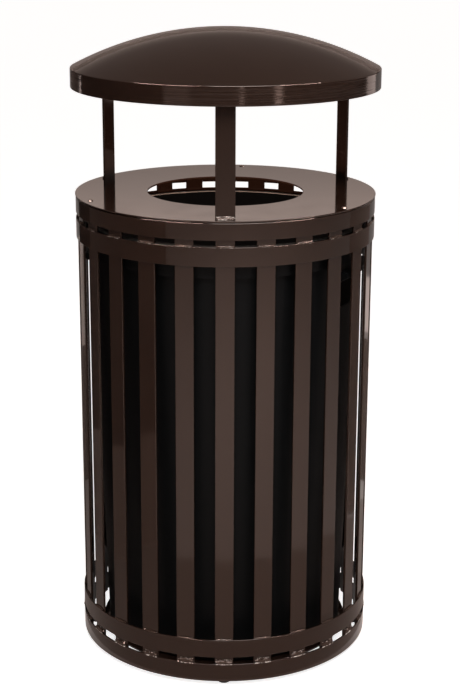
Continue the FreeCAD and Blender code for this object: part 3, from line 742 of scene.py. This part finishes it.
paper, tree = new_material("pale seamless paper")
ray, mirrored = rays(tree)
faint = maths(tree, "MULTIPLY", mirrored, MIRROR_LIFT)
lift = maths(tree, "MULTIPLY_ADD", ray["Is Camera Ray"], CAMERA_LIFT, faint)
matte = add(tree, "ShaderNodeBsdfDiffuse", {"Color": linear(PAPER)})
glow = add(tree, "ShaderNodeEmission", {"Strength": lift})
cover(tree, add(tree, "ShaderNodeAddShader", {0: matte.outputs[0], 1: glow.outputs[0]}))

half = FLOOR_SIZE / 2
corners = [(-half, -half, 0), (half, -half, 0), (half, half, 0), (-half, half, 0)]
sheet = bpy.data.meshes.new("floor")
sheet.from_pydata(corners, [], [(0, 1, 2, 3)])
sheet.materials.append(paper)
floor = bpy.data.objects.new("floor", sheet)
bpy.context.collection.objects.link(floor)
print("floor:", FLOOR_SIZE, "m of", paper.name)

# %% Cards
CARD_BLACK = "#4A403C"
CARD_DARK = "#85766F"
CARD_LIGHT = "#BBAAA2"
CARD_PALE = "#CBB9B0"
CARD_WHITE = "#F6E6DE"
CARD_STEPS = 48
# Metres from the axis to the walls of cards, and to where those close behind the can end
LEFT, RIGHT, BACK, FAR = -0.75, 0.9, 0.75, 2.2
LIMB = 0.36


def card(name, corners, faces, tone):
    """Grey card that only the gloss of the can picks up."""
    mesh = bpy.data.meshes.new(name)
    mesh.from_pydata(corners, [], faces)
    grey, tree = new_material(name)
    cover(tree, add(tree, "ShaderNodeBsdfDiffuse", {"Color": linear(tone)}))
    mesh.materials.append(grey)
    board = bpy.data.objects.new(name, mesh)
    board.visible_camera = False
    board.visible_diffuse = False
    board.visible_transmission = False
    board.visible_shadow = False
    bpy.context.collection.objects.link(board)


def flag(name, start, end, low, high, tone):
    """Upright card above a line from one floor point to another."""
    card(name, [(*start, low), (*end, low), (*end, high), (*start, high)], [(0, 1, 2, 3)], tone)


def collar(name, inner, outer, first, last, tone):
    """Part of a flat ring of card on the floor, from one azimuth to another."""
    turns = [math.radians(first + (last - first) * k / CARD_STEPS) for k in range(CARD_STEPS + 1)]
    corners = [(r * math.sin(a), -r * math.cos(a), MM) for a in turns for r in (inner, outer)]
    card(name, corners, [(2 * k, 2 * k + 1, 2 * k + 3, 2 * k + 2) for k in range(CARD_STEPS)], tone)


flag("left low card", (LEFT, -0.92), (LEFT, 0.2), 0, 0.29, CARD_PALE)
flag("left card", (LEFT, -0.92), (LEFT, 0.2), 0.29, 1.0, CARD_DARK)
flag("left rear card", (LEFT, 0.2), (LEFT, BACK), 0, 1.0, CARD_BLACK)
flag("left high card", (LEFT, -0.92), (LEFT, 0.2), 1.0, 1.4, CARD_BLACK)
flag("left high rear card", (LEFT, 0.2), (LEFT, 0.85), 1.12, 1.45, CARD_BLACK)
flag("left rim card", (LEFT, 0.2), (LEFT, 0.3), 1.0, 1.12, CARD_BLACK)
flag("left rim rear card", (LEFT, 0.38), (LEFT, 1.2), 1.0, 1.12, CARD_DARK)
flag("left back card", (LEFT, BACK), (-LIMB, BACK), 0, 0.38, CARD_DARK)
flag("left limb card", (LEFT, BACK), (-LIMB, BACK), 0.38, 0.68, CARD_WHITE)
flag("right card", (RIGHT, 0.05), (RIGHT, 0.77), 0, 0.76, CARD_PALE)
flag("right front card", (RIGHT, 0.05), (RIGHT, 0.6), 0.76, 0.95, CARD_PALE)
flag("right rear card", (RIGHT, 0.6), (RIGHT, 1.0), 0.76, 0.95, CARD_BLACK)
flag("right high card", (RIGHT, 0.55), (RIGHT, 1.1), 1.2, 1.45, CARD_DARK)
flag("right back card", (RIGHT, BACK), (LIMB, BACK), 0, 0.4, CARD_DARK)
flag("back high card", (-2.0, FAR), (2.0, FAR), 1.56, 1.86, CARD_PALE)
# The three floor cards round the can are painted shade: they darken the paper that the lower rings and slats
# mirror, standing in for the can's shadow and the dimmer floor beside it.
collar("near floor card", 0.33, 0.5, -180, 180, CARD_LIGHT)
collar("left floor card", 0.5, 1.1, -150, -38, CARD_LIGHT)
collar("wide floor card", 0.5, 0.92, -38, 210, CARD_PALE)
collar("far floor card", 8.3, 18.0, -75, 125, CARD_BLACK)

# %% World
SKY_LIGHT = 0.18
WHITE = "#FFFFFF"
WALL = {0: "#8A7B75", 8: "#9C8C85", 10.1: "#B2A098", 11: "#D2BDB3", 12: "#F7DFD4", 14: "#BCA9A1",
        18: "#8A7C75", 24: "#776A65", 55: "#7A6D67"}

world = bpy.data.worlds.new("studio")
world.use_nodes = True
bpy.context.scene.world = world
tree = world.node_tree
tree.nodes.clear()
aim = add(tree, "ShaderNodeTexCoord").outputs["Generated"]
ramp = add(tree, "ShaderNodeValToRGB", {"Fac": height_of(tree, aim)})
stops = ramp.color_ramp.elements
while len(stops) < len(WALL):
    stops.new(0.5)
for stop, (elevation, tone) in zip(stops, WALL.items()):
    stop.position = math.sin(math.radians(elevation))
    stop.color = linear(tone)
ray, mirrored = rays(tree)
sky = add(tree, "ShaderNodeBackground", {"Color": linear(WHITE), "Strength": SKY_LIGHT})
wall = add(tree, "ShaderNodeBackground", {"Color": ramp.outputs[0]})
white = add(tree, "ShaderNodeBackground", {"Color": linear(WHITE), "Strength": 1.0})
room = add(tree, "ShaderNodeMixShader", {0: mirrored, 1: sky.outputs[0], 2: wall.outputs[0]})
view = add(tree, "ShaderNodeMixShader", {0: ray["Is Camera Ray"], 1: room.outputs[0], 2: white.outputs[0]})
add(tree, "ShaderNodeOutputWorld", {"Surface": view.outputs[0]})
print("world:", world.name, "with a wall of", len(stops), "tones")

# %% Lamps
LAMP_WARM = "#FFD9C4"
LAMP_SOFT = "#FFE7DE"
STRIP_PLACE, STRIP_TALL = 0.8, 0.6
BONNET_PLACE = (0, 0, 1.25)


def softbox(name, spot, width, tall, watts, aim, tone=LAMP_SOFT):
    """Rectangular lamp at a spot, turned towards another."""
    lamp = bpy.data.lights.new(name, "AREA")
    lamp.shape = "RECTANGLE"
    lamp.size = width
    lamp.size_y = tall
    lamp.energy = watts
    lamp.color = linear(tone)[:3]
    holder = bpy.data.objects.new(name, lamp)
    holder.location = spot
    away = Vector(aim) - Vector(spot)
    holder.rotation_euler = away.to_track_quat("-Z", "Y").to_euler()
    holder.visible_camera = False
    bpy.context.collection.objects.link(holder)
    return holder


def strip(name, azimuth, distance, width, watts):
    """Upright strip lamp at an azimuth from the front, which the bonnet's rim mirrors."""
    angle = math.radians(azimuth)
    spot = (distance * math.sin(angle), -distance * math.cos(angle), STRIP_PLACE)
    softbox(name, spot, width, STRIP_TALL, watts, (0, 0, STRIP_PLACE))


softbox("overhead box", (0.55, -2.0, 3.1), 2.0, 1.8, 115, (0.55, -1.99, 0), WHITE)
left_edge = softbox("left edge box", (-1.63, -1.57, 3.0), 2.4, 0.1, 130, BONNET_PLACE)
right_edge = softbox("right edge box", (2.0, -1.1, 3.0), 1.6, 0.1, 85, BONNET_PLACE)
left_edge.visible_diffuse = False
right_edge.visible_diffuse = False
softbox("limb box", (1.0, 1.25, 0.345), 0.15, 0.17, 0.06, (0.29, -0.09, 0.345))
inside = softbox("inside lamp", (0, -0.08, 0.935), 0.1, 0.03, 1.2, (0, 0.3, 0.9), LAMP_WARM)
inside.visible_glossy = False
strip("right strip", 36.5, 3.2, 0.27, 1.6)
strip("left strip", -34, 3.2, 1.1, 0.8)
strip("front strip", 11, 3.6, 0.12, 0.6)
strip("back right strip", 129, 3.0, 0.9, 1.7)
strip("back left strip", -128, 3.0, 0.08, 0.5)
print("lamps:", len(bpy.data.lights))

# %% Camera
LENS = 84.87
SENSOR = 36
CAMERA_PLACE = (0.0, -3.3068, 1.5948)
CAMERA_TILT = 73.66
CAMERA_ROLL = -0.17
CAMERA_SHIFT = 0.0054

camera = bpy.data.cameras.new("camera")
camera.lens = LENS
camera.sensor_width = SENSOR
camera.shift_x = CAMERA_SHIFT
eye = bpy.data.objects.new("camera", camera)
eye.location = CAMERA_PLACE
eye.rotation_euler = (math.radians(CAMERA_TILT), math.radians(CAMERA_ROLL), 0)
bpy.context.collection.objects.link(eye)
bpy.context.scene.camera = eye
bpy.context.scene.view_settings.view_transform = "Standard"
print("camera:", LENS, "mm lens at", CAMERA_PLACE)
